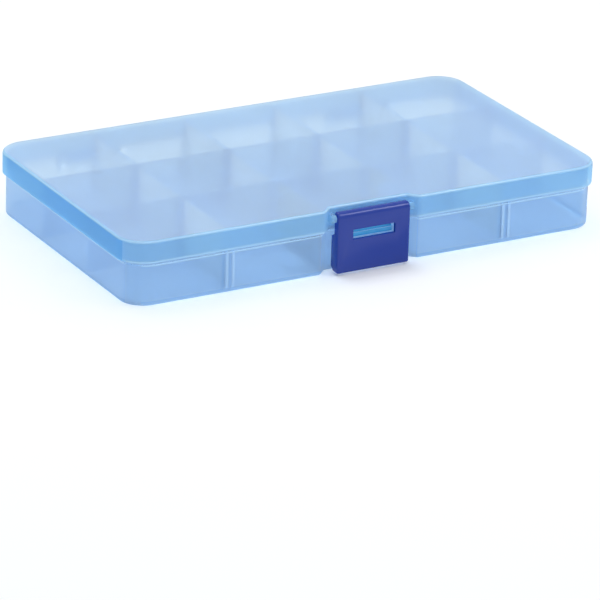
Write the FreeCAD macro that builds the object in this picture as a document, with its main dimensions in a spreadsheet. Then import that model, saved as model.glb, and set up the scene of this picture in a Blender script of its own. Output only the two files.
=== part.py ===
import FreeCAD
import Part
import os
import re
import Sketcher

# Compartment storage box: a shallow moulded tray with two fixed long walls, ten loose dividers that drop
# into rib slots to make fifteen cells, a lid that clips onto two hinge bars at the back, and a clip latch
# that hangs on two pins of the lid and closes over a catch bar on the tray.
# Millimetres. +X runs along the box, -Y is the latch side, +Z is up, and the origin is the middle of the
# tray's underside.

SIZES = [
    # the closed box
    ("lid_length", 175.0, "lid, outside, along X"),
    ("lid_depth", 100.0, "lid, outside, along Y"),
    ("box_height", 22.5, "table to the top of the lid"),
    ("lid_corner", 9.6, "radius of the lid's four upright corners"),
    ("side_gap", 0.25, "air between the lid's skirt and the tray's side below the ledge"),
    ("rim_gap", 0.6, "air between the lid's skirt and the tray's rim above the ledge"),
    ("top_gap", 0.35, "air between the lid's underside and the tray's rim"),
    # lid shell
    ("lid_wall", 0.9, "wall of the lid"),
    ("skirt_height", 7.5, "height of the lid's skirt"),
    ("lid_edge_round", 1.2, "radius along the lid's top edge"),
    # notch in the middle of the front for the latch
    ("notch_floor_half", 14.2, "half width of the notch at its floor, on the lid"),
    ("notch_mouth_half", 17.5, "half width of the notch at its mouth, on the lid"),
    ("notch_depth", 3.2, "depth of the notch"),
    ("mouth_round", 2.6, "radius of the lid's corners at the mouth"),
    ("nook_round", 0.8, "radius of the lid's corners at the floor"),
    # tray shell
    ("tray_wall", 1.2, "side walls of the tray below the ledge"),
    ("tray_floor", 1.0, "floor of the tray"),
    ("ledge_drop", 1.0, "the tray's outer ledge, this far below the lid's lower edge"),
    ("foot_round", 1.3, "radius round the tray's underside"),
    ("floor_round", 0.5, "radius inside the tray where its walls meet the floor"),
    ("rim_bevel", 0.3, "bevel on the tray's upper outer edge"),
    # fixed walls inside the tray
    ("row_wall", 1.0, "thickness of the fixed walls"),
    ("front_row_line", 16.0, "middle of the front long wall, this far in front of the origin"),
    ("rear_row_line", 16.0, "middle of the rear long wall, this far behind the origin"),
    # slots and loose dividers
    ("divider_thick", 1.0, "thickness of a divider"),
    ("slot_gap", 0.15, "air on each side of a divider, and at its ends"),
    ("slot_rib", 1.0, "width of a slot's ribs"),
    ("slot_reach", 1.3, "how far a slot's ribs stand out from the wall"),
    ("slot_root", 0.35, "how far a slot's ribs are sunk into the wall"),
    ("slot_drop", 0.8, "how far the ribs stop below the tray's rim"),
    ("divider_drop", 0.3, "how far a divider stops below the tray's rim"),
    ("divider_foot", 0.1, "air under a divider"),
    ("divider_toe", 0.8, "bevel on a divider's lower corners"),
    ("divider_ear", 0.5, "bevel on a divider's upper corners"),
    # lid hinges
    ("hinge_place", 51.0, "middle of each hinge, this far from the origin along X"),
    ("hinge_width", 24.0, "length of a hinge over its two ears"),
    ("hinge_back", 1.4, "hinge axis, this far behind the lid's back face"),
    ("hinge_drop", 1.9, "hinge axis, this far below the lid's lower edge"),
    ("bar_radius", 1.2, "radius of the hinge bar"),
    ("ear_radius", 1.5, "radius of an ear round the bar"),
    ("ear_tip_round", 1.35, "radius at an ear's tip"),
    ("ear_thick", 2.0, "thickness of an ear"),
    ("ear_gusset", 3.0, "how far an ear's foot runs down the wall below the ear"),
    ("clip_play", 0.08, "air between hinge bar and clip"),
    ("clip_wall", 1.0, "wall of a clip"),
    ("clip_side_gap", 0.3, "air between a clip's end and the ear"),
    ("clip_mouth", 1.9, "width of the opening that snaps over the bar"),
    ("clip_tab", 1.6, "how far a clip's tab climbs the lid's back face"),
    # latch
    ("latch_width", 26.6, "width of the latch"),
    ("latch_proud", 1.3, "latch face, this far in front of the lid"),
    ("latch_wall", 1.2, "wall of the latch"),
    ("latch_foot", 0.5, "air under the latch"),
    ("latch_drop", 1.3, "latch's top, this far below the lid's top"),
    ("barrel_radius", 2.1, "radius of the latch's top edge, about its pins"),
    ("cheek_upper", 2.7, "depth of the latch's cheeks beside the lid"),
    ("cheek_lower", 4.4, "depth of the latch's cheeks beside the tray"),
    ("cheek_step", 8.6, "where the cheeks reach their full depth, below the latch's top"),
    ("cheek_slope_height", 1.0, "height of the slope between the two depths"),
    ("cheek_bevel", 1.8, "bevel at the lower back corner of a cheek"),
    ("latch_corner", 0.7, "radius of the latch's lower corners"),
    ("latch_edge", 0.7, "radius round the latch's face"),
    ("window_width", 15.6, "width of the latch's window"),
    ("window_height", 3.4, "height of the latch's window"),
    ("window_drop", 6.1, "window's upper edge, below the latch's top"),
    # latch pins, moulded on the lid
    ("pin_radius", 0.8, "radius of a latch pin"),
    ("pin_play", 0.05, "air between a latch pin and its hole"),
    ("lug_gap", 0.25, "air between a cheek and the lug beside it"),
    ("lug_thick", 1.6, "thickness of a lug"),
    ("lug_radius", 1.3, "how far a lug reaches round the pin's axis"),
    ("lug_nose_round", 1.15, "radius at a lug's nose"),
    # catch bar on the tray
    ("catch_width", 14.6, "length of the catch bar"),
    ("catch_drop", 6.6, "catch bar's top, below the latch's top"),
    ("catch_height", 2.5, "height of the catch bar"),
    ("catch_slope_height", 1.0, "drop of the catch bar's sloping top"),
    ("catch_slope_run", 1.4, "depth of the catch bar's sloping top"),
    ("catch_gap", 0.3, "air between the catch bar and the latch's inner face, behind the window"),
]
ALIASES = {alias for alias, _, _ in SIZES}

# Lengths worked out from the sheet, as formulas of its names.
SIDE_INSET = "(lid_wall + side_gap)"
RIM_INSET = "(lid_wall + rim_gap)"
ROOM_INSET = "(lid_wall + side_gap + tray_wall)"
MID_RIM = f"(({RIM_INSET} + {ROOM_INSET}) / 2)"
SKIRT_FOOT = "(box_height - skirt_height)"
LEDGE = f"({SKIRT_FOOT} - ledge_drop)"
TRAY_TOP = "(box_height - lid_wall - top_gap)"
ROOM_HALF_X = f"(lid_length / 2 - {ROOM_INSET})"
ROOM_HALF_Y = f"(lid_depth / 2 - {ROOM_INSET})"
COLUMN = f"({ROOM_HALF_X} * 2 / 5)"
HINGE_Y = "(lid_depth / 2 + hinge_back)"
HINGE_Z = f"({SKIRT_FOOT} - hinge_drop)"
CLIP_RADIUS = "(bar_radius + clip_play + clip_wall)"
LATCH_FACE = "(0 - lid_depth / 2 - latch_proud)"
LATCH_TOP = "(box_height - latch_drop)"
LATCH_BACK = f"({LATCH_FACE} + latch_wall)"
PIN_Y = f"({LATCH_FACE} + barrel_radius)"
PIN_Z = f"({LATCH_TOP} - barrel_radius)"
NOTCH_SLANT = "(notch_depth / (notch_mouth_half - notch_floor_half))"
NOTCH_TURN = f"tan(atan({NOTCH_SLANT}) / 2)"

doc = FreeCAD.newDocument("compartment_box")
sheet = doc.addObject("Spreadsheet::Sheet", "Sizes")
for row, (alias, number, meaning) in enumerate(SIZES, 1):
    sheet.set(f"A{row}", meaning)
    sheet.set(f"B{row}", str(number))
    sheet.setAlias(f"B{row}", alias)
doc.recompute()


def bound(formula):
    """The formula as a FreeCAD expression that reads the sheet."""
    return re.sub(r"[a-z_]+", lambda word: "Sizes." + word[0] if word[0] in ALIASES else word[0], formula)


def value(formula):
    """The formula's number at the sheet's present sizes."""
    number = sheet.evalExpression(bound(formula))
    return float(getattr(number, "Value", number))


def new_body(label):
    body = doc.addObject("PartDesign::Body", label)
    body.Label = label
    return body


def new_sketch(body, name, plane, offset=None):
    """A sketch on one of the body's own origin planes, moved along its normal by the offset formula."""
    sketch = body.newObject("Sketcher::SketchObject", name)
    support = next(o for o in body.Origin.OriginFeatures if o.Role == plane)
    sketch.AttachmentSupport = [(support, "")]
    sketch.MapMode = "FlatFace"
    if offset is not None:
        sketch.setExpression("AttachmentOffset.Base.z", bound(offset))
    return sketch


def pin_point(sketch, geometry, point, place):
    """Holds one point of the sketch at a place given by two formulas."""
    for kind, formula in zip(("DistanceX", "DistanceY"), place):
        index = sketch.addConstraint(Sketcher.Constraint(kind, -1, 1, geometry, point, value(formula)))
        sketch.setExpression(f"Constraints[{index}]", bound(formula))


def add_polygon(sketch, corners):
    """A closed polygon whose corners are pairs of formulas."""
    spots = [FreeCAD.Vector(value(x), value(y), 0) for x, y in corners]
    first = sketch.GeometryCount
    for start, end in zip(spots, spots[1:] + spots[:1]):
        sketch.addGeometry(Part.LineSegment(start, end))
    for k, place in enumerate(corners):
        before = first + (k - 1) % len(corners)
        sketch.addConstraint(Sketcher.Constraint("Coincident", before, 2, first + k, 1))
        pin_point(sketch, first + k, 1, place)


def add_rectangle(sketch, low, high):
    (left, bottom), (right, top) = low, high
    add_polygon(sketch, [(left, bottom), (right, bottom), (right, top), (left, top)])


def add_circle(sketch, centre, radius):
    spot = FreeCAD.Vector(value(centre[0]), value(centre[1]), 0)
    geometry = sketch.addGeometry(Part.Circle(spot, FreeCAD.Vector(0, 0, 1), value(radius)))
    pin_point(sketch, geometry, 3, centre)
    index = sketch.addConstraint(Sketcher.Constraint("Radius", geometry, value(radius)))
    sketch.setExpression(f"Constraints[{index}]", bound(radius))


def settle(body, feature):
    """Makes the feature the body's tip and computes it."""
    body.Tip = feature
    doc.recompute()
    return feature


def pad(body, sketch, length, both_ways=False):
    feature = body.newObject("PartDesign::Pad", sketch.Name + "_pad")
    feature.Profile = sketch
    feature.Midplane = both_ways
    feature.setExpression("Length", bound(length))
    return settle(body, feature)


def cut_through(body, sketch):
    """Cuts the sketch through the whole body, both ways."""
    before = body.Tip.Shape.Volume
    feature = body.newObject("PartDesign::Pocket", sketch.Name + "_cut")
    feature.Profile = sketch
    feature.Type = "ThroughAll"
    feature.Midplane = True
    settle(body, feature)
    if not feature.Shape.Volume < before - 1e-6:
        raise SystemExit(f"{feature.Name} cuts nothing")
    return feature


def combine(body, kind, tool):
    """Fuses another body to this one, or cuts it away."""
    feature = body.newObject("PartDesign::Boolean", f"{tool.Name}_{kind.lower()}")
    feature.Type = kind
    feature.setObjects([tool])
    return settle(body, feature)


def cut_slab(body, sketch, width):
    """Cuts the sketch out over the given width, centred on the sketch's plane."""
    before = body.Tip.Shape.Volume
    feature = body.newObject("PartDesign::Pocket", sketch.Name + "_cut")
    feature.Profile = sketch
    feature.Midplane = True
    feature.setExpression("Length", bound(width))
    settle(body, feature)
    if not feature.Shape.Volume < before - 1e-6:
        raise SystemExit(f"{feature.Name} cuts nothing")
    return feature


def edge_names(shape, wanted):
    return [f"Edge{k}" for k, edge in enumerate(shape.Edges, 1) if wanted(edge)]


def upright_at(places):
    """A test for upright edges that stand at one of the given (x, y) formula pairs."""
    spots = [(value(x), value(y)) for x, y in places]

    def wanted(edge):
        a, b = edge.Vertexes[0].Point, edge.Vertexes[-1].Point
        upright = abs(a.x - b.x) < 1e-4 and abs(a.y - b.y) < 1e-4 and abs(a.z - b.z) > 0.5
        return upright and any(abs(a.x - x) < 1e-3 and abs(a.y - y) < 1e-3 for x, y in spots)

    return wanted


def along_x_at(y, z):
    """A test for straight edges along X at the given (y, z) formulas."""
    y, z = value(y), value(z)

    def wanted(edge):
        a, b = edge.Vertexes[0].Point, edge.Vertexes[-1].Point
        along = abs(a.y - b.y) < 1e-4 and abs(a.z - b.z) < 1e-4 and abs(a.x - b.x) > 0.5
        return along and abs(a.y - y) < 1e-3 and abs(a.z - z) < 1e-3

    return wanted


def along_y_at(x, z):
    """A test for straight edges along Y at the given (plus or minus x, z) formulas."""
    x, z = value(x), value(z)

    def wanted(edge):
        a, b = edge.Vertexes[0].Point, edge.Vertexes[-1].Point
        along = abs(a.x - b.x) < 1e-4 and abs(a.z - b.z) < 1e-4 and abs(a.y - b.y) > 0.5
        return along and abs(abs(a.x) - x) < 1e-3 and abs(a.z - z) < 1e-3

    return wanted


def level_at(z):
    """A test for edges that lie flat at the given height formula."""
    z = value(z)
    return lambda edge: all(abs(v.Point.z - z) < 1e-4 for v in edge.Vertexes) and abs(
        edge.CenterOfMass.z - z) < 1e-4


def round_edges(body, name, wanted, radius):
    base = body.Tip
    names = edge_names(base.Shape, wanted)
    if not names:
        raise SystemExit(f"{name} finds no edge")
    feature = body.newObject("PartDesign::Fillet", name)
    feature.Base = (base, names)
    feature.setExpression("Radius", bound(radius))
    return settle(body, feature)


def shell(body, name, open_height, wall):
    """Hollows the body out to a wall, open on its flat face at the given height."""
    base = body.Tip
    z = value(open_height)
    faces = [
        f"Face{k}" for k, face in enumerate(base.Shape.Faces, 1)
        if abs(face.BoundBox.ZMin - z) < 1e-4 and abs(face.BoundBox.ZMax - z) < 1e-4
    ]
    feature = body.newObject("PartDesign::Thickness", name)
    feature.Base = (base, faces)
    feature.Reversed = True
    feature.Join = "Intersection"
    feature.setExpression("Value", bound(wall))
    before = base.Shape.Volume
    settle(body, feature)
    if not feature.Shape.Volume < before - 1e-6:
        raise SystemExit(f"{name} isn't hollow")
    return feature


def repeat_along_x(body, original, name, spacing, count):
    feature = body.newObject("PartDesign::LinearPattern", name)
    feature.Originals = [original]
    feature.Direction = (next(o for o in body.Origin.OriginFeatures if o.Role == "X_Axis"), [""])
    feature.Occurrences = count
    feature.setExpression("Length", bound(f"{spacing} * {count - 1}"))
    return settle(body, feature)


def notched_outline(inset):
    """The box seen from above, with the latch notch in its front, set in by the given formula."""
    half_x = f"(lid_length / 2 - {inset})"
    half_y = f"(lid_depth / 2 - {inset})"
    floor = f"(notch_floor_half + {inset} * {NOTCH_TURN})"
    mouth = f"(notch_mouth_half + {inset} * {NOTCH_TURN})"
    front, back, deep = f"0 - {half_y}", half_y, f"notch_depth - {half_y}"
    corners = [(f"0 - {half_x}", front), (half_x, front), (half_x, back), (f"0 - {half_x}", back)]
    mouths = [(f"0 - {mouth}", front), (mouth, front)]
    nooks = [(f"0 - {floor}", deep), (floor, deep)]
    ring = [corners[0], mouths[0], nooks[0], nooks[1], mouths[1], corners[1], corners[2], corners[3]]
    return ring, corners, mouths, nooks


def notched_block(body, name, inset, foot, height):
    """The solid outline with its upright edges rounded, so that lid and tray nest with an even gap."""
    ring, corners, mouths, nooks = notched_outline(inset)
    sketch = new_sketch(body, name, "XY_Plane", foot)
    add_polygon(sketch, ring)
    pad(body, sketch, height)
    round_edges(body, name + "_corners", upright_at(corners), f"lid_corner - {inset}")
    round_edges(body, name + "_mouth", upright_at(mouths), f"mouth_round - {inset}")
    round_edges(body, name + "_nook", upright_at(nooks), f"nook_round + {inset}")


def bevel_tray_rim(body):
    base = body.Tip
    z = value(TRAY_TOP)
    rim = next(f for f in base.Shape.Faces if f.BoundBox.ZMin > z - 1e-4)
    outer = rim.OuterWire.Edges
    names = edge_names(base.Shape, lambda edge: any(edge.isSame(o) for o in outer))
    feature = body.newObject("PartDesign::Chamfer", "rim_lead_in")
    feature.Base = (base, names)
    feature.setExpression("Size", bound("rim_bevel"))
    return settle(body, feature)


ROWS = {
    # row: its front and back wall faces
    "front": (f"(0 - {ROOM_HALF_Y})", "(0 - front_row_line - row_wall / 2)"),
    "middle": ("(row_wall / 2 - front_row_line)", "(rear_row_line - row_wall / 2)"),
    "rear": ("(rear_row_line + row_wall / 2)", ROOM_HALF_Y),
}
SLOT_HALF = "(divider_thick / 2 + slot_gap)"


def add_slot_ribs(sketch, column, row):
    """The four ribs that hold one divider: a pair on each of the row's two wall faces."""
    front, back = ROWS[row]
    inner, outer = SLOT_HALF, f"({SLOT_HALF} + slot_rib)"
    left_rib = (f"{column} - {outer}", f"{column} - {inner}")
    right_rib = (f"{column} + {inner}", f"{column} + {outer}")
    for left, right in (left_rib, right_rib):
        add_rectangle(sketch, (left, f"{front} - slot_root"), (right, f"{front} + slot_reach"))
        add_rectangle(sketch, (left, f"{back} - slot_reach"), (right, f"{back} + slot_root"))


def add_fixed_walls(body):
    """Two long walls, and two short ones that close the middle cell of the front row behind the notch."""
    foot, height = "tray_floor / 2", f"{TRAY_TOP} - tray_floor / 2"
    reach = f"(lid_length / 2 - {MID_RIM})"
    sketch = new_sketch(body, "long_walls", "XY_Plane", foot)
    for line in ("(0 - front_row_line)", "rear_row_line"):
        add_rectangle(sketch, (f"0 - {reach}", f"{line} - row_wall / 2"), (reach, f"{line} + row_wall / 2"))
    pad(body, sketch, height)
    sketch = new_sketch(body, "short_walls", "XY_Plane", foot)
    nook = f"(notch_floor_half + {MID_RIM} * {NOTCH_TURN})"
    start = f"(notch_depth + {MID_RIM} - lid_depth / 2 - ({COLUMN} / 2 - {nook}) * {NOTCH_SLANT})"
    for side in ("(0 - 1)", "1"):
        middle = f"{side} * {COLUMN} / 2"
        add_rectangle(sketch, (f"{middle} - row_wall / 2", start),
                      (f"{middle} + row_wall / 2", "0 - front_row_line"))
    pad(body, sketch, height)


def add_slots(body):
    foot, height = "tray_floor / 2", f"{TRAY_TOP} - slot_drop - tray_floor / 2"
    first = f"(0 - {COLUMN} * 1.5)"
    sketch = new_sketch(body, "slots_front", "XY_Plane", foot)
    add_slot_ribs(sketch, first, "front")
    ribs = pad(body, sketch, height)
    repeat_along_x(body, ribs, "slots_front_row", f"{COLUMN} * 3", 2)
    sketch = new_sketch(body, "slots_behind", "XY_Plane", foot)
    add_slot_ribs(sketch, first, "middle")
    add_slot_ribs(sketch, first, "rear")
    ribs = pad(body, sketch, height)
    repeat_along_x(body, ribs, "slots_behind_rows", COLUMN, 4)


def add_hinge_bars(body):
    """Two bars behind the tray, each held between two ears that a gusset ties to the back wall."""
    root = f"(lid_depth / 2 - {MID_RIM})"
    top, bottom, tip = f"{HINGE_Z} + ear_radius", f"{HINGE_Z} - ear_radius", f"{HINGE_Y} + ear_radius"
    for side, sign in (("left", "(0 - 1)"), ("right", "1")):
        start = f"({sign} * hinge_place - hinge_width / 2)"
        bar = new_sketch(body, f"hinge_bar_{side}", "YZ_Plane", start)
        add_circle(bar, (HINGE_Y, HINGE_Z), "bar_radius")
        pad(body, bar, "hinge_width")
        for end, place in (("a", start), ("b", f"{start} + hinge_width - ear_thick")):
            ear = new_sketch(body, f"hinge_ear_{side}_{end}", "YZ_Plane", place)
            add_polygon(ear, [(root, f"{bottom} - ear_gusset"), (tip, bottom), (tip, top), (root, top)])
            pad(body, ear, "ear_thick")
    round_edges(body, "ear_tips_upper", along_x_at(tip, top), "ear_tip_round")
    round_edges(body, "ear_tips_lower", along_x_at(tip, bottom), "ear_tip_round")


def add_catch(body):
    root = f"(notch_depth + {MID_RIM} - lid_depth / 2)"
    tip = f"({LATCH_BACK} + catch_gap)"
    top = f"({LATCH_TOP} - catch_drop)"
    foot = f"({top} - catch_height)"
    sketch = new_sketch(body, "catch_bar", "YZ_Plane")
    add_polygon(sketch, [(root, foot), (tip, foot), (tip, f"{top} - catch_slope_height"),
                         (f"{tip} + catch_slope_run", top), (root, top)])
    pad(body, sketch, "catch_width", both_ways=True)


def make_tray():
    body = new_body("base_tray")
    notched_block(body, "tray_side", SIDE_INSET, "0", LEDGE)
    round_edges(body, "tray_foot", level_at("0"), "foot_round")
    rim = new_body("tray_rim")
    notched_block(rim, "rim", RIM_INSET, LEDGE, f"{TRAY_TOP} - {LEDGE}")
    combine(body, "Fuse", rim)
    room = new_body("tray_room")
    notched_block(room, "room", ROOM_INSET, "tray_floor", TRAY_TOP)
    round_edges(room, "room_foot", level_at("tray_floor"), "floor_round")
    combine(body, "Cut", room)
    bevel_tray_rim(body)
    add_fixed_walls(body)
    add_slots(body)
    add_catch(body)
    add_hinge_bars(body)
    return body


def add_clips(body):
    """Two tabs that run down from the lid's back rim and curl round the hinge bars."""
    inner_face = "(lid_depth / 2 - lid_wall)"
    width = "(hinge_width - 2 * ear_thick - 2 * clip_side_gap)"
    for side, sign in (("left", "(0 - 1)"), ("right", "1")):
        start = f"({sign} * hinge_place - {width} / 2)"
        tab = new_sketch(body, f"clip_tab_{side}", "YZ_Plane", start)
        add_polygon(tab, [(inner_face, HINGE_Z), (HINGE_Y, HINGE_Z),
                          (HINGE_Y, f"{HINGE_Z} + {CLIP_RADIUS}"),
                          ("lid_depth / 2", f"{SKIRT_FOOT} + clip_tab"),
                          (inner_face, f"{SKIRT_FOOT} + clip_tab")])
        pad(body, tab, width)
        barrel = new_sketch(body, f"clip_barrel_{side}", "YZ_Plane", start)
        add_circle(barrel, (HINGE_Y, HINGE_Z), CLIP_RADIUS)
        pad(body, barrel, width)
    bore = new_sketch(body, "clip_bore", "YZ_Plane")
    add_circle(bore, (HINGE_Y, HINGE_Z), "bar_radius + clip_play")
    cut_through(body, bore)
    mouth = new_sketch(body, "clip_mouth", "YZ_Plane")
    add_rectangle(mouth, (f"{HINGE_Y} - clip_mouth / 2", f"{HINGE_Z} - {CLIP_RADIUS} - clip_wall"),
                  (f"{HINGE_Y} + clip_mouth / 2", HINGE_Z))
    cut_through(body, mouth)


def add_latch_pins(body):
    """A lug on each side of the notch, with a short pin that the latch's cheek snaps onto."""
    cheek = "(latch_width / 2)"
    front, back = f"{PIN_Y} - lug_radius", "(notch_depth - lid_depth / 2 + lid_wall / 2)"
    top, bottom = f"{PIN_Z} + lug_radius", f"{PIN_Z} - lug_radius"
    for side, lug_start, pin_start in (
        ("left", f"0 - {cheek} - lug_gap - lug_thick", f"0 - {cheek} - lug_gap"),
        ("right", f"{cheek} + lug_gap", f"{cheek} - latch_wall"),
    ):
        lug = new_sketch(body, f"latch_lug_{side}", "YZ_Plane", lug_start)
        add_rectangle(lug, (front, bottom), (back, top))
        pad(body, lug, "lug_thick")
        pin = new_sketch(body, f"latch_pin_{side}", "YZ_Plane", pin_start)
        add_circle(pin, (PIN_Y, PIN_Z), "pin_radius")
        pad(body, pin, "latch_wall + lug_gap")
    for name, z in (("lug_noses_upper", top), ("lug_noses_lower", bottom)):
        round_edges(body, name, along_x_at(front, z), "lug_nose_round")


def make_lid():
    body = new_body("lid")
    notched_block(body, "lid_outline", "0", SKIRT_FOOT, "skirt_height")
    round_edges(body, "lid_top_edge", level_at("box_height"), "lid_edge_round")
    shell(body, "lid_shell", SKIRT_FOOT, "lid_wall")
    add_clips(body)
    add_latch_pins(body)
    return body


def make_latch():
    body = new_body("latch")
    upper, lower = f"{LATCH_FACE} + cheek_upper", f"{LATCH_FACE} + cheek_lower"
    step = f"({LATCH_TOP} - cheek_step)"
    side = new_sketch(body, "latch_side", "YZ_Plane")
    add_polygon(side, [(LATCH_FACE, "latch_foot"), (f"{lower} - cheek_bevel", "latch_foot"),
                       (lower, "latch_foot + cheek_bevel"), (lower, step),
                       (upper, f"{step} + cheek_slope_height"), (upper, LATCH_TOP), (LATCH_FACE, LATCH_TOP)])
    pad(body, side, "latch_width", both_ways=True)
    round_edges(body, "barrel_edge", along_x_at(LATCH_FACE, LATCH_TOP), "barrel_radius")
    round_edges(body, "latch_corners", along_y_at("latch_width / 2", "latch_foot"), "latch_corner")
    sides = [("latch_width / 2", LATCH_FACE), ("0 - latch_width / 2", LATCH_FACE)]
    round_edges(body, "latch_face_edge", upright_at(sides), "latch_edge")
    hollow = new_sketch(body, "latch_hollow", "YZ_Plane")
    add_rectangle(hollow, (LATCH_BACK, "0"), (f"{LATCH_FACE} + 2 * cheek_lower", f"{LATCH_TOP} - latch_wall"))
    cut_slab(body, hollow, "latch_width - 2 * latch_wall")
    window = new_sketch(body, "latch_window", "XZ_Plane")
    window_top = f"({LATCH_TOP} - window_drop)"
    add_rectangle(window, ("0 - window_width / 2", f"{window_top} - window_height"),
                  ("window_width / 2", window_top))
    cut_through(body, window)
    socket = new_sketch(body, "pin_sockets", "YZ_Plane")
    add_circle(socket, (PIN_Y, PIN_Z), "pin_radius + pin_play")
    cut_through(body, socket)
    return body


def make_divider(label, row, place):
    """One loose divider, as a plate across its row, moved to its column."""
    front, back = (f"({face} {sign} slot_gap)" for face, sign in zip(ROWS[row], "+-"))
    foot, top = "(tray_floor + divider_foot)", f"({TRAY_TOP} - divider_drop)"
    body = new_body(label)
    plate = new_sketch(body, label + "_plate", "YZ_Plane")
    add_polygon(plate, [(f"{front} + divider_toe", foot), (f"{back} - divider_toe", foot),
                        (back, f"{foot} + divider_toe"), (back, f"{top} - divider_ear"),
                        (f"{back} - divider_ear", top), (f"{front} + divider_ear", top),
                        (front, f"{top} - divider_ear"), (front, f"{foot} + divider_toe")])
    pad(body, plate, "divider_thick", both_ways=True)
    body.setExpression("Placement.Base.x", bound(f"{COLUMN} * {place}"))
    return body


def check_and_write(bodies):
    doc.recompute()
    for item in doc.Objects:
        if {"Invalid", "Error"} & set(item.State):
            raise SystemExit(f"{item.Name} failed: {item.State}")
    for body in bodies:
        if body.Shape.isNull() or not body.Shape.isValid() or not body.Shape.Solids:
            raise SystemExit(f"{body.Label} has no valid solid")
    os.makedirs("parts", exist_ok=True)
    for body in bodies:
        body.Shape.exportStep(os.path.join("parts", body.Label + ".step"))
        print(body.Label, len(body.Shape.Solids), round(body.Shape.Volume, 1), len(body.Shape.Faces))


bodies = [make_tray(), make_lid(), make_latch()]
# The plates' places, in columns from the middle. The front row has two, because its middle cell is fixed.
PLACES = {"front": (-1.5, 1.5), "middle": (-1.5, -0.5, 0.5, 1.5), "rear": (-1.5, -0.5, 0.5, 1.5)}
for row, places in PLACES.items():
    for number, place in enumerate(places, 1):
        bodies.append(make_divider(f"divider_{row}_{number}", row, place))
check_and_write(bodies)
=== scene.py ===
import math

import bmesh
import bpy
from mathutils import Matrix, Vector


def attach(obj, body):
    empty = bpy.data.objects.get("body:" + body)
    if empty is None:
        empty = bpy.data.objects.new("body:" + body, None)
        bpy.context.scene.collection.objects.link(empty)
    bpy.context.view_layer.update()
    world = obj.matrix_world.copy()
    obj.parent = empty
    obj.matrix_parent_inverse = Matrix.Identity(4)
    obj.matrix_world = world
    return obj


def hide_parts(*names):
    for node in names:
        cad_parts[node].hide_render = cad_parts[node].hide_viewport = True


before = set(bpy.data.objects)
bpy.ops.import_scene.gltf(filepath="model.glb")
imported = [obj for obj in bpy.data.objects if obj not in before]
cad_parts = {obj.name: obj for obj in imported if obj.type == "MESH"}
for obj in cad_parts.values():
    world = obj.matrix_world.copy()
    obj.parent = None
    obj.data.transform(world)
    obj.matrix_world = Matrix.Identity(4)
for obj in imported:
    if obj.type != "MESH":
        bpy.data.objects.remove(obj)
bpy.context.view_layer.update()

MM = 0.001


# Camera
# A long lens from the front left, looking down on the box. It aims below the box, so that the box
# fills the upper half of the frame.

CAMERA_AZIMUTH = math.radians(-29.46)
CAMERA_ELEVATION = math.radians(22.14)
CAMERA_ROLL = math.radians(1.67)
CAMERA_DISTANCE = 1473 * MM
CAMERA_ASIDE = Vector((1.17 * MM, -27.28 * MM))
CAMERA_LENS = 266.6
SENSOR_WIDTH = 36

camera = bpy.data.objects.new("camera", bpy.data.cameras.new("camera"))
bpy.context.collection.objects.link(camera)
camera.data.lens = CAMERA_LENS
camera.data.sensor_width = SENSOR_WIDTH
camera.data.clip_start = 0.05
camera.data.clip_end = 20
away = Vector((math.sin(CAMERA_AZIMUTH) * math.cos(CAMERA_ELEVATION),
               -math.cos(CAMERA_AZIMUTH) * math.cos(CAMERA_ELEVATION),
               math.sin(CAMERA_ELEVATION)))
level_right = (-away).cross(Vector((0, 0, 1))).normalized()
level_up = level_right.cross(-away)
right = math.cos(CAMERA_ROLL) * level_right + math.sin(CAMERA_ROLL) * level_up
up = -math.sin(CAMERA_ROLL) * level_right + math.cos(CAMERA_ROLL) * level_up
camera.matrix_world = Matrix(((right.x, up.x, away.x, 0), (right.y, up.y, away.y, 0),
                              (right.z, up.z, away.z, 0), (0, 0, 0, 1)))
camera.location = away * CAMERA_DISTANCE + right * CAMERA_ASIDE.x + up * CAMERA_ASIDE.y
bpy.context.scene.camera = camera


# Studio
# A white table under a pale tent, lit by one soft lamp overhead and a weaker one from the right.
# The table shows white to the eye, in reflections and through the plastic, and keeps the box's
# shadow. Light crosses up to a dozen thin walls here, so it is followed further than usual.

bpy.context.scene.view_settings.view_transform = "Standard"
cycles = bpy.context.scene.cycles
cycles.max_bounces = 32
cycles.transmission_bounces = 32
cycles.glossy_bounces = 12
cycles.diffuse_bounces = 8
cycles.transparent_max_bounces = 24

TABLE_GLOW = 0.12
TABLE_WIDTH = 12
TABLE_DROP = 0.2 * MM


def linear(hex_colour):
    """An sRGB hex colour as linear RGBA."""
    parts = [int(hex_colour[k:k + 2], 16) / 255 for k in (1, 3, 5)]
    return [c / 12.92 if c <= 0.04045 else ((c + 0.055) / 1.055) ** 2.4 for c in parts] + [1.0]


def add_node(tree, kind, settings=None, links=None):
    """Adds a node, sets its properties and values, and links its inputs, by name or by number."""
    node = tree.nodes.new(kind)
    for key, value in (settings or {}).items():
        if isinstance(key, str) and hasattr(node, key):
            setattr(node, key, value)
        else:
            node.inputs[key].default_value = value
    for key, output in (links or {}).items():
        tree.links.new(output, node.inputs[key])
    return node


def new_material(name):
    """A material with an empty node tree."""
    material = bpy.data.materials.new(name)
    material.use_nodes = True
    material.node_tree.nodes.clear()
    return material


def soft_lamp(name, place, size, watts):
    """A round lamp that looks at the origin, its place and size in metres."""
    lamp = bpy.data.objects.new(name, bpy.data.lights.new(name, "AREA"))
    bpy.context.collection.objects.link(lamp)
    lamp.data.shape = "DISK"
    lamp.data.size = size
    lamp.data.energy = watts
    lamp.location = place
    lamp.rotation_euler = (-Vector(place)).to_track_quat("-Z", "Y").to_euler()


soft_lamp("lamp_overhead", (-0.1, 0.3, 1.1), 0.6, 4)
soft_lamp("lamp_right", (0.6, -0.5, 1.0), 0.35, 2.2)

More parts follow.
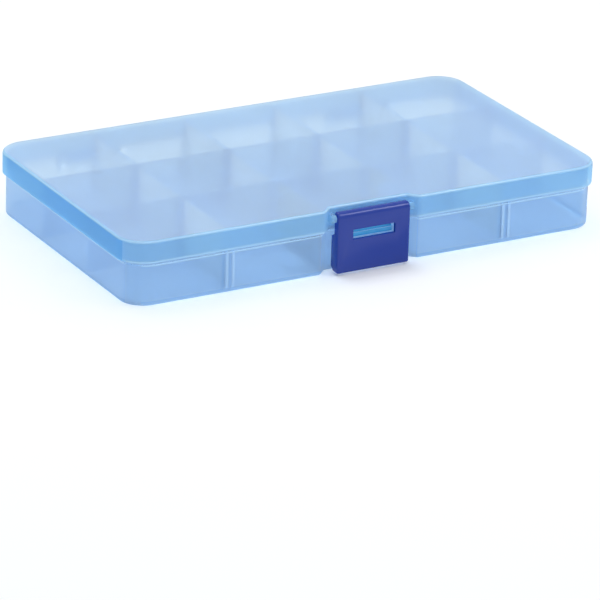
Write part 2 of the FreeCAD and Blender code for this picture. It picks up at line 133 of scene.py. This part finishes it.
world = bpy.data.worlds.new("tent")
bpy.context.scene.world = world
world.use_nodes = True
tent = world.node_tree.nodes["Background"]
tent.inputs["Color"].default_value = linear("#f4f8ff")
direction = add_node(world.node_tree, "ShaderNodeTexCoord").outputs["Generated"]
across = add_node(world.node_tree, "ShaderNodeSeparateXYZ", {}, {0: direction})
# The tent is a little brighter on its right.
fade = add_node(world.node_tree, "ShaderNodeMapRange",
                {"From Min": -1.0, "From Max": 1.0, "To Min": 0.6, "To Max": 0.75},
                {"Value": across.outputs["X"]})
world.node_tree.links.new(fade.outputs["Result"], tent.inputs["Strength"])

laminate = new_material("white_table_matt_laminate")
nodes = laminate.node_tree
laminate_face = add_node(nodes, "ShaderNodeBsdfDiffuse", {"Color": linear("#f6f6f6")})
light_path = add_node(nodes, "ShaderNodeLightPath")
seen = light_path.outputs["Is Camera Ray"]
for kind in ("Is Glossy Ray", "Is Transmission Ray"):
    seen = add_node(nodes, "ShaderNodeMath", {"operation": "MAXIMUM"},
                    {0: seen, 1: light_path.outputs[kind]}).outputs[0]
glow = add_node(nodes, "ShaderNodeMath", {"operation": "MULTIPLY", 1: TABLE_GLOW}, {0: seen})
laminate_glow = add_node(nodes, "ShaderNodeEmission", {}, {"Strength": glow.outputs[0]})
laminate_sum = add_node(nodes, "ShaderNodeAddShader", {},
                        {0: laminate_face.outputs[0], 1: laminate_glow.outputs[0]})
add_node(nodes, "ShaderNodeOutputMaterial", {}, {"Surface": laminate_sum.outputs[0]})

bpy.ops.mesh.primitive_plane_add(size=TABLE_WIDTH, location=(0, 0, -TABLE_DROP))
table = bpy.context.object
table.name = "white_table"
table.data.materials.append(laminate)


# Tray
# A shallow tray moulded in one piece from frosted blue polypropylene: floor, side walls, the two
# long walls of the rows, the ribs that hold the dividers, the catch bar and the hinge bars. Its
# outside is milky and its inside is clear. Painted light is laid on it face by face: pale painted
# highlights on its rounded edges, at the table, along the ledge, on the ribs and where they show
# through the front wall, and on the foot and the tops of the inner walls; deeper painted shade on
# its ends, under its floor and on the catch bar.

SMOOTH_BELOW = math.radians(35)
WELD = 0.002 * MM
SAME_PLANE = math.radians(0.5)
TRAY_EDGE = 0.15 * MM


def frosted_polypropylene(name, tint, clear, rough, gloss=0.0):
    """Polypropylene with a little blue dye, moulded in a finely blasted tool. Part of the light
    scatters in its skin, so it looks milky, and what lies behind it blurs with distance. The dye
    gathers in faint clouds where the melt ran. Lamps reach through it, as they do through so thin
    a wall. Polypropylene's index is 1.49. At that value light stays caught between a thin wall's
    two rough skins and the wall turns grey, so the index is 1.05, and the coat gives the gloss."""
    material = new_material(name)
    nodes = material.node_tree
    place = add_node(nodes, "ShaderNodeTexCoord").outputs["Object"]
    # The real grain is about 0.05 mm, too fine to show, so it is drawn at 1.2 mm.
    blast = add_node(nodes, "ShaderNodeTexNoise", {"Scale": 1 / (1.2 * MM), "Detail": 2.0},
                     {"Vector": place})
    haze = add_node(nodes, "ShaderNodeMapRange", {"To Min": rough - 0.02, "To Max": rough + 0.02},
                    {"Value": blast.outputs["Fac"]})
    flow = add_node(nodes, "ShaderNodeTexNoise", {"Scale": 1 / (30 * MM), "Detail": 1.0},
                    {"Vector": place})
    colour = linear(tint)
    cloud = add_node(nodes, "ShaderNodeMix", {
        "data_type": "RGBA", 6: [0.97 * part for part in colour[:3]] + [1],
        7: [min(1, 1.03 * part) for part in colour[:3]] + [1]}, {0: flow.outputs["Fac"]})
    skin = add_node(nodes, "ShaderNodeBsdfPrincipled", {
        "IOR": 1.05, "Transmission Weight": clear, "Coat Weight": gloss, "Coat Roughness": 0.12},
        {"Base Color": cloud.outputs[2], "Roughness": haze.outputs["Result"]})
    lamp_light = add_node(nodes, "ShaderNodeBsdfTransparent", {"Color": linear("#f6fafe")})
    path = add_node(nodes, "ShaderNodeLightPath")
    face = add_node(nodes, "ShaderNodeMixShader", {}, {
        0: path.outputs["Is Shadow Ray"], 1: skin.outputs[0], 2: lamp_light.outputs[0]})
    add_node(nodes, "ShaderNodeOutputMaterial", {}, {"Surface": face.outputs[0]})
    return material


def finish_mesh(piece):
    """Turns the piece's modifiers into plain mesh, shaded smooth apart from its creases."""
    evaluated = piece.evaluated_get(bpy.context.evaluated_depsgraph_get())
    mesh = bpy.data.meshes.new_from_object(evaluated)
    piece.modifiers.clear()
    piece.data = mesh
    for face in mesh.polygons:
        face.use_smooth = True
    mesh.set_sharp_from_angle(angle=SMOOTH_BELOW)


def moulded_copy(node, name, materials, edge, cuts=()):
    """The node's shape as one closed skin, cut at the given places, with its sharp edges rounded
    as a moulding's are. The last material goes on the rounded edges."""
    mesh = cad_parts[node].data.copy()
    mesh.materials.clear()
    shape = bmesh.new()
    shape.from_mesh(mesh)
    bmesh.ops.remove_doubles(shape, verts=shape.verts, dist=WELD)
    bmesh.ops.dissolve_limit(shape, angle_limit=SAME_PLANE, verts=shape.verts, edges=shape.edges)
    for place, across in cuts:
        bmesh.ops.bisect_plane(shape, geom=shape.verts[:] + shape.edges[:] + shape.faces[:],
                               plane_co=Vector(across) * place, plane_no=across)
    shape.to_mesh(mesh)
    shape.free()
    for material in materials:
        mesh.materials.append(material)
    piece = bpy.data.objects.new(name, mesh)
    bpy.context.collection.objects.link(piece)
    rounded = piece.modifiers.new("rounded", "BEVEL")
    rounded.width = edge
    rounded.segments = 2
    rounded.limit_method = "ANGLE"
    rounded.angle_limit = SMOOTH_BELOW
    rounded.material = len(materials) - 1
    finish_mesh(piece)
    return piece


def faces_away(face):
    """True if the face looks away from the box's middle, so that it is on the outside of a wall."""
    return face.center.x * face.normal.x + face.center.y * face.normal.y > 0


tray_side = frosted_polypropylene("tray_side_blue_polypropylene", "#bbd5ec", 0.8, 0.37, 0.2)
# The ends' copy is a deeper, more saturated blue: painted shade for the side walls seen edge-on.
tray_end_painted_shade = frosted_polypropylene("tray_end_painted_shade_blue_polypropylene", "#b8d8f8", 0.5, 0.37, 0.2)
inner_skin = frosted_polypropylene("inner_skin_blue_polypropylene", "#e4f3fc", 0.95, 0.08)
# The floor's underside is a greyer, darker blue than the walls: painted shade under the box.
floor_painted_shade = frosted_polypropylene("floor_painted_shade_blue_polypropylene", "#aabbd0", 0.8, 0.33)
# Ribs in a pale, more opaque copy, so that they show as light bars: painted highlight.
rib_painted_highlight = frosted_polypropylene("rib_painted_highlight_blue_polypropylene", "#c6e4ff", 0.4, 0.33)
# The catch bar's copy is a deep blue: painted shade for the bar inside the latch's window.
catch_painted_shade = frosted_polypropylene("catch_bar_painted_shade_blue_polypropylene", "#56bdf2", 0.3, 0.12, 0.6)
# The pale, nearly opaque skin for the rounded edges and the bands at the table and the ledge:
# painted highlight.
painted_highlight_edge = frosted_polypropylene("painted_highlight_edge_blue_polypropylene", "#c9e8ff", 0.2, 0.33, 0.3)
# The foot band's copy is more opaque, to lift the dark line where the tray meets the table: painted
# light.
foot_painted_light = frosted_polypropylene("foot_painted_light_blue_polypropylene", "#a9cff3", 0.4, 0.33, 0.2)
SIDE, END, INNER, FLOOR, FOOT, RIB, CATCH, EDGE = range(8)
# Heights of the bands on the outer wall: the painted highlight line at the table, the foot, which
# is painted lighter, and the painted highlight along the ledge.
LINE_TOP = 0.4 * MM
FOOT_TOP = 1.7 * MM
LEDGE_EDGE = 13.5 * MM
LEDGE_TOP = 14.1 * MM
# How far out the outer walls' faces, the cells' walls and the tops of the inner walls lie.
OUTER_X = 85.5 * MM
OUTER_Y = 47.8 * MM
CELLS_X = 84 * MM
CELLS_Y = 47.6 * MM
TOPS_Y = 47 * MM
TOPS_ABOVE = 20 * MM
# The catch bar lies between these, in the notch.
CATCH_HALF = 7.5 * MM
CATCH_FRONT_OF = -47.5 * MM
CATCH_BOTTOM = 12 * MM
CATCH_TOP = 14.8 * MM
# The pairs of ribs, and the strips of the front wall that they show through, all painted pale:
# painted highlight.
COLUMN_PITCH = 34.06 * MM
FRONT_SLOT = 1.5 * COLUMN_PITCH
RIB_OFF_COLUMN = 0.6 * MM
RIB_NEAR = 0.65 * MM
RIB_FAR = 1.65 * MM
rib_sides = [column + side * reach for column in (-FRONT_SLOT, FRONT_SLOT) for side in (-1, 1)
             for reach in (RIB_NEAR, RIB_FAR)]

tray = moulded_copy(
    "base_tray", "tray",
    [tray_side, tray_end_painted_shade, inner_skin, floor_painted_shade, foot_painted_light, rib_painted_highlight, catch_painted_shade, painted_highlight_edge],
    TRAY_EDGE,
    [(height, (0, 0, 1)) for height in (LINE_TOP, FOOT_TOP, LEDGE_EDGE)]
    + [(side, (1, 0, 0)) for side in rib_sides])
for face in tray.data.polygons:
    at, up, across = face.center, face.normal.z, abs(face.normal.x)
    rounded = face.material_index == EDGE
    outer = faces_away(face) and (abs(at.x) > OUTER_X or abs(at.y) > OUTER_Y)
    off_slot = abs(abs(at.x) - FRONT_SLOT)
    off_column = abs(abs(abs(at.x) - COLUMN_PITCH) - COLUMN_PITCH / 2)
    # The catch bar takes the deep copy, painted shade, and its ridge and rounded edges take the
    # pale edge skin, painted highlight.
    if abs(at.x) < CATCH_HALF and at.y < CATCH_FRONT_OF and CATCH_BOTTOM < at.z < CATCH_TOP:
        face.material_index = EDGE if rounded or at.z > LEDGE_EDGE and up < 0.1 else CATCH
    # Painted highlight bands on the outer wall, at the table and along the ledge.
    elif outer and (at.z < LINE_TOP or LEDGE_EDGE < at.z < LEDGE_TOP):
        face.material_index = EDGE
    # The foot band takes the more opaque copy: painted light over the shade at the table.
    elif outer and at.z < FOOT_TOP:
        face.material_index = FOOT
    # The end walls take the deeper copy: painted shade.
    elif outer and across > 0.5 and not rounded:
        face.material_index = END
    # Pale strips painted on the front wall where the ribs show through: painted highlight.
    elif outer and at.y < -OUTER_Y and RIB_NEAR < off_slot < RIB_FAR and not rounded:
        face.material_index = RIB
    # Rib sides take the pale copy: painted highlight.
    elif abs(at.x) < CELLS_X and abs(at.y) < CELLS_Y and across > 0.9 and not rounded:
        face.material_index = RIB if off_column > RIB_OFF_COLUMN else INNER
    # The tops of the inner walls take the milky outer skin, so that they show as soft pale lines
    # through the lid: painted light.
    elif (at.z > TOPS_ABOVE and (up > 0.9 or rounded)
          and abs(at.x) < CELLS_X and abs(at.y) < TOPS_Y):
        face.material_index = INNER if rounded else SIDE
    # The floor's underside takes the greyer copy: painted shade.
    elif up < -0.9 and at.z < FOOT_TOP:
        face.material_index = FLOOR
    elif not rounded and (not faces_away(face) or abs(up) > 0.9):
        face.material_index = INNER
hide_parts("base_tray")
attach(tray, "base")


# Dividers
# Ten loose plates cut from one mould of the same frosted polypropylene, two in the front row and
# four in each row behind. They slide down between the tray's ribs and stand on its floor.

PLATE_THICK = 1.0 * MM
PLATE_FOOT = 1.1 * MM
PLATE_TOP = 20.95 * MM
PLATE_CORNER = 0.7 * MM
PLATE_EDGE = 0.12 * MM
# Above this an edge is rounded, so that the facets of the plates' corners are left alone.
SQUARE_ABOVE = math.radians(50)
# Where the plates' front and rear ends stand: at the outer walls, and outside and inside of the
# two long walls.
AT_OUTER_WALL = 47.5 * MM
OUTSIDE_LONG_WALL = 16.65 * MM
INSIDE_LONG_WALL = 15.35 * MM


def plate_row_tree(material):
    """A row of upright plates with rounded corners, spread along X."""
    tree = bpy.data.node_groups.new("plate_row", "GeometryNodeTree")
    for name, kind in (("Count", "NodeSocketInt"), ("Pitch", "NodeSocketFloat"),
                       ("Depth", "NodeSocketFloat"), ("Height", "NodeSocketFloat"),
                       ("Thickness", "NodeSocketFloat"), ("Corner", "NodeSocketFloat"),
                       ("Start", "NodeSocketVector")):
        tree.interface.new_socket(name, in_out="INPUT", socket_type=kind)
    tree.interface.new_socket("Geometry", in_out="OUTPUT", socket_type="NodeSocketGeometry")
    given = add_node(tree, "NodeGroupInput").outputs
    outline = add_node(tree, "GeometryNodeCurvePrimitiveQuadrilateral", {},
                       {"Width": given["Depth"], "Height": given["Height"]})
    corners = add_node(tree, "GeometryNodeFilletCurve", {"mode": "POLY", "Count": 4},
                       {"Curve": outline.outputs[0], "Radius": given["Corner"]})
    front = add_node(tree, "GeometryNodeFillCurve", {"mode": "NGONS"},
                     {"Curve": corners.outputs[0]})
    back = add_node(tree, "GeometryNodeFlipFaces", {}, {"Mesh": front.outputs[0]})
    rest = add_node(tree, "GeometryNodeExtrudeMesh", {"Individual": False},
                    {"Mesh": front.outputs[0], "Offset Scale": given["Thickness"]})
    both = add_node(tree, "GeometryNodeJoinGeometry", {}, {0: back.outputs[0]})
    tree.links.new(rest.outputs[0], both.inputs[0])
    closed = add_node(tree, "GeometryNodeMergeByDistance", {"Distance": 0.001 * MM},
                      {0: both.outputs[0]})
    half = add_node(tree, "ShaderNodeMath", {"operation": "MULTIPLY", 1: -0.5},
                    {0: given["Thickness"]})
    shift = add_node(tree, "ShaderNodeCombineXYZ", {}, {"Z": half.outputs[0]})
    centred = add_node(tree, "GeometryNodeTransform", {},
                       {"Geometry": closed.outputs[0], "Translation": shift.outputs[0]})
    upright = add_node(tree, "GeometryNodeTransform",
                       {"Rotation": (math.radians(90), 0, math.radians(90))},
                       {"Geometry": centred.outputs[0]})
    step = add_node(tree, "ShaderNodeCombineXYZ", {}, {"X": given["Pitch"]})
    line = add_node(tree, "GeometryNodeMeshLine", {},
                    {"Count": given["Count"], "Start Location": given["Start"],
                     "Offset": step.outputs[0]})
    plates = add_node(tree, "GeometryNodeInstanceOnPoints", {},
                      {"Points": line.outputs[0], "Instance": upright.outputs[0]})
    real = add_node(tree, "GeometryNodeRealizeInstances", {}, {0: plates.outputs[0]})
    coloured = add_node(tree, "GeometryNodeSetMaterial", {"Material": material},
                        {0: real.outputs[0]})
    add_node(tree, "NodeGroupOutput", {}, {0: coloured.outputs[0]})
    return tree


# The plates are a near-white copy of the plastic: painted light that lifts the shade inside the
# box.
divider_painted_light = frosted_polypropylene("divider_painted_light_blue_polypropylene", "#f2f9ff", 0.45, 0.08)
# The plates' tops are a deeper blue: a painted shade line seen through the lid.
divider_top_painted_shade = frosted_polypropylene("divider_top_painted_shade_blue_polypropylene", "#9cc8ee", 0.7, 0.08)
plate_tree = plate_row_tree(divider_painted_light)
for row, count, pitch, front, back in (
        ("front", 2, 3 * COLUMN_PITCH, -AT_OUTER_WALL, -OUTSIDE_LONG_WALL),
        ("middle", 4, COLUMN_PITCH, -INSIDE_LONG_WALL, INSIDE_LONG_WALL),
        ("rear", 4, COLUMN_PITCH, OUTSIDE_LONG_WALL, AT_OUTER_WALL)):
    plates = bpy.data.objects.new(f"dividers_{row}_row", bpy.data.meshes.new(f"dividers_{row}_row"))
    bpy.context.collection.objects.link(plates)
    maker = plates.modifiers.new("plates", "NODES")
    maker.node_group = plate_tree
    sizes = {"Count": count, "Pitch": pitch, "Depth": back - front,
             "Height": PLATE_TOP - PLATE_FOOT, "Thickness": PLATE_THICK, "Corner": PLATE_CORNER,
             "Start": (-(count - 1) * pitch / 2, (front + back) / 2, (PLATE_TOP + PLATE_FOOT) / 2)}
    for socket in plate_tree.interface.items_tree:
        if socket.in_out == "INPUT":
            maker[socket.identifier] = sizes[socket.name]
    rounded = plates.modifiers.new("rounded", "BEVEL")
    rounded.width = PLATE_EDGE
    rounded.segments = 2
    rounded.limit_method = "ANGLE"
    rounded.angle_limit = SQUARE_ABOVE
    finish_mesh(plates)
    # Geometry Nodes leave an empty first slot, so the list is made again and every face is given
    # its place in it.
    plates.data.materials.clear()
    for material in (divider_painted_light, divider_top_painted_shade):
        plates.data.materials.append(material)
    # The tops take the deeper copy: painted shade line.
    for face in plates.data.polygons:
        face.material_index = 1 if face.normal.z > 0.5 else 0
    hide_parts(*[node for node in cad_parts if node.startswith(f"divider_{row}")])
    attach(plates, "base")


# Lid
# A thin moulded cover of the same frosted polypropylene, with a skirt that hangs over the tray's
# rim, two clips that snap on the hinge bars, and two lugs with pins for the latch. Its top is the
# haziest face and is painted paler too, a painted reflection of the bright tent. Its lip and top
# edge are painted pale, a painted highlight, and its ends a deeper blue, painted shade.

lid_skirt = frosted_polypropylene("lid_skirt_blue_polypropylene", "#b2e2fc", 0.6, 0.33, 0.2)
# The top's copy is rougher, which is its haze, and paler, which is a painted reflection of the
# bright tent.
lid_top_haze_and_painted_reflection = frosted_polypropylene("lid_top_haze_and_painted_reflection_blue_polypropylene", "#e2eef6", 0.68, 0.4, 0.2)
# The lip's copy is pale and nearly opaque: painted highlight along the lip and the top edge.
lip_painted_highlight = frosted_polypropylene("lid_lip_painted_highlight_blue_polypropylene", "#b9e2ff", 0.1, 0.33, 0.5)
# The ends' copy is a deeper blue than the skirt: painted shade for the skirt's ends seen edge-on.
lid_end_painted_shade = frosted_polypropylene("lid_end_painted_shade_blue_polypropylene", "#88cdf4", 0.62, 0.33, 0.2)
SKIRT, END, TOP, INSIDE, LIP = range(5)
LID_EDGE = 0.2 * MM
LIP_TOP = 15.6 * MM
TOP_ABOVE = 22.4 * MM
TOP_EDGE_ABOVE = 21 * MM
SHORT_OF_HINGES = 50.1 * MM
BEYOND_NOTCH = 50 * MM

lid = moulded_copy("lid", "lid_cover", [lid_skirt, lid_end_painted_shade, lid_top_haze_and_painted_reflection, inner_skin, lip_painted_highlight],
                   LID_EDGE, [(LIP_TOP, (0, 0, 1))])
for face in lid.data.polygons:
    at, up, across = face.center, face.normal.z, abs(face.normal.x)
    # Faces of the lip and of the top edge's rounding take the pale lip skin: painted highlight.
    painted_highlight_band = at.z < LIP_TOP or at.z > TOP_EDGE_ABOVE and 0.4 < up < 0.85
    if up > 0.9 and at.z > TOP_ABOVE:
        face.material_index = TOP
    elif faces_away(face) and abs(at.y) < SHORT_OF_HINGES and across < 0.9 and painted_highlight_band:
        face.material_index = LIP
    elif not faces_away(face) or up < -0.9:
        face.material_index = INSIDE
    # The lid's ends take the deeper copy: painted shade.
    elif across > 0.93 and abs(at.x) > BEYOND_NOTCH:
        face.material_index = END
    else:
        face.material_index = SKIRT
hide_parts("lid")
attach(lid, "lid")


# Latch
# A clip of opaque navy polypropylene with a semi-gloss moulded face. It hangs on the lid's pins
# and closes over the tray's catch bar, which shows in its window.

LATCH_EDGE = 0.25 * MM


def navy_polypropylene(name):
    """Dyed polypropylene from a polished mould: even colour and soft reflections, with a faint
    orange peel. The peel is about 0.5 mm across, as on such a small moulding."""
    material = new_material(name)
    nodes = material.node_tree
    place = add_node(nodes, "ShaderNodeTexCoord").outputs["Object"]
    peel = add_node(nodes, "ShaderNodeTexNoise", {"Scale": 1 / (0.5 * MM), "Detail": 2.0},
                    {"Vector": place})
    bumps = add_node(nodes, "ShaderNodeBump", {"Strength": 0.1, "Distance": 0.03 * MM},
                     {"Height": peel.outputs["Fac"]})
    haze = add_node(nodes, "ShaderNodeMapRange", {"To Min": 0.2, "To Max": 0.28},
                    {"Value": peel.outputs["Fac"]})
    skin = add_node(nodes, "ShaderNodeBsdfPrincipled",
                    {"IOR": 1.49, "Base Color": linear("#183a9e")},
                    {"Roughness": haze.outputs["Result"], "Normal": bumps.outputs["Normal"]})
    add_node(nodes, "ShaderNodeOutputMaterial", {}, {"Surface": skin.outputs[0]})
    return material


latch = moulded_copy("latch", "latch_clip", [navy_polypropylene("latch_navy_polypropylene")],
                     LATCH_EDGE)
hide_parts("latch")
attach(latch, "latch")
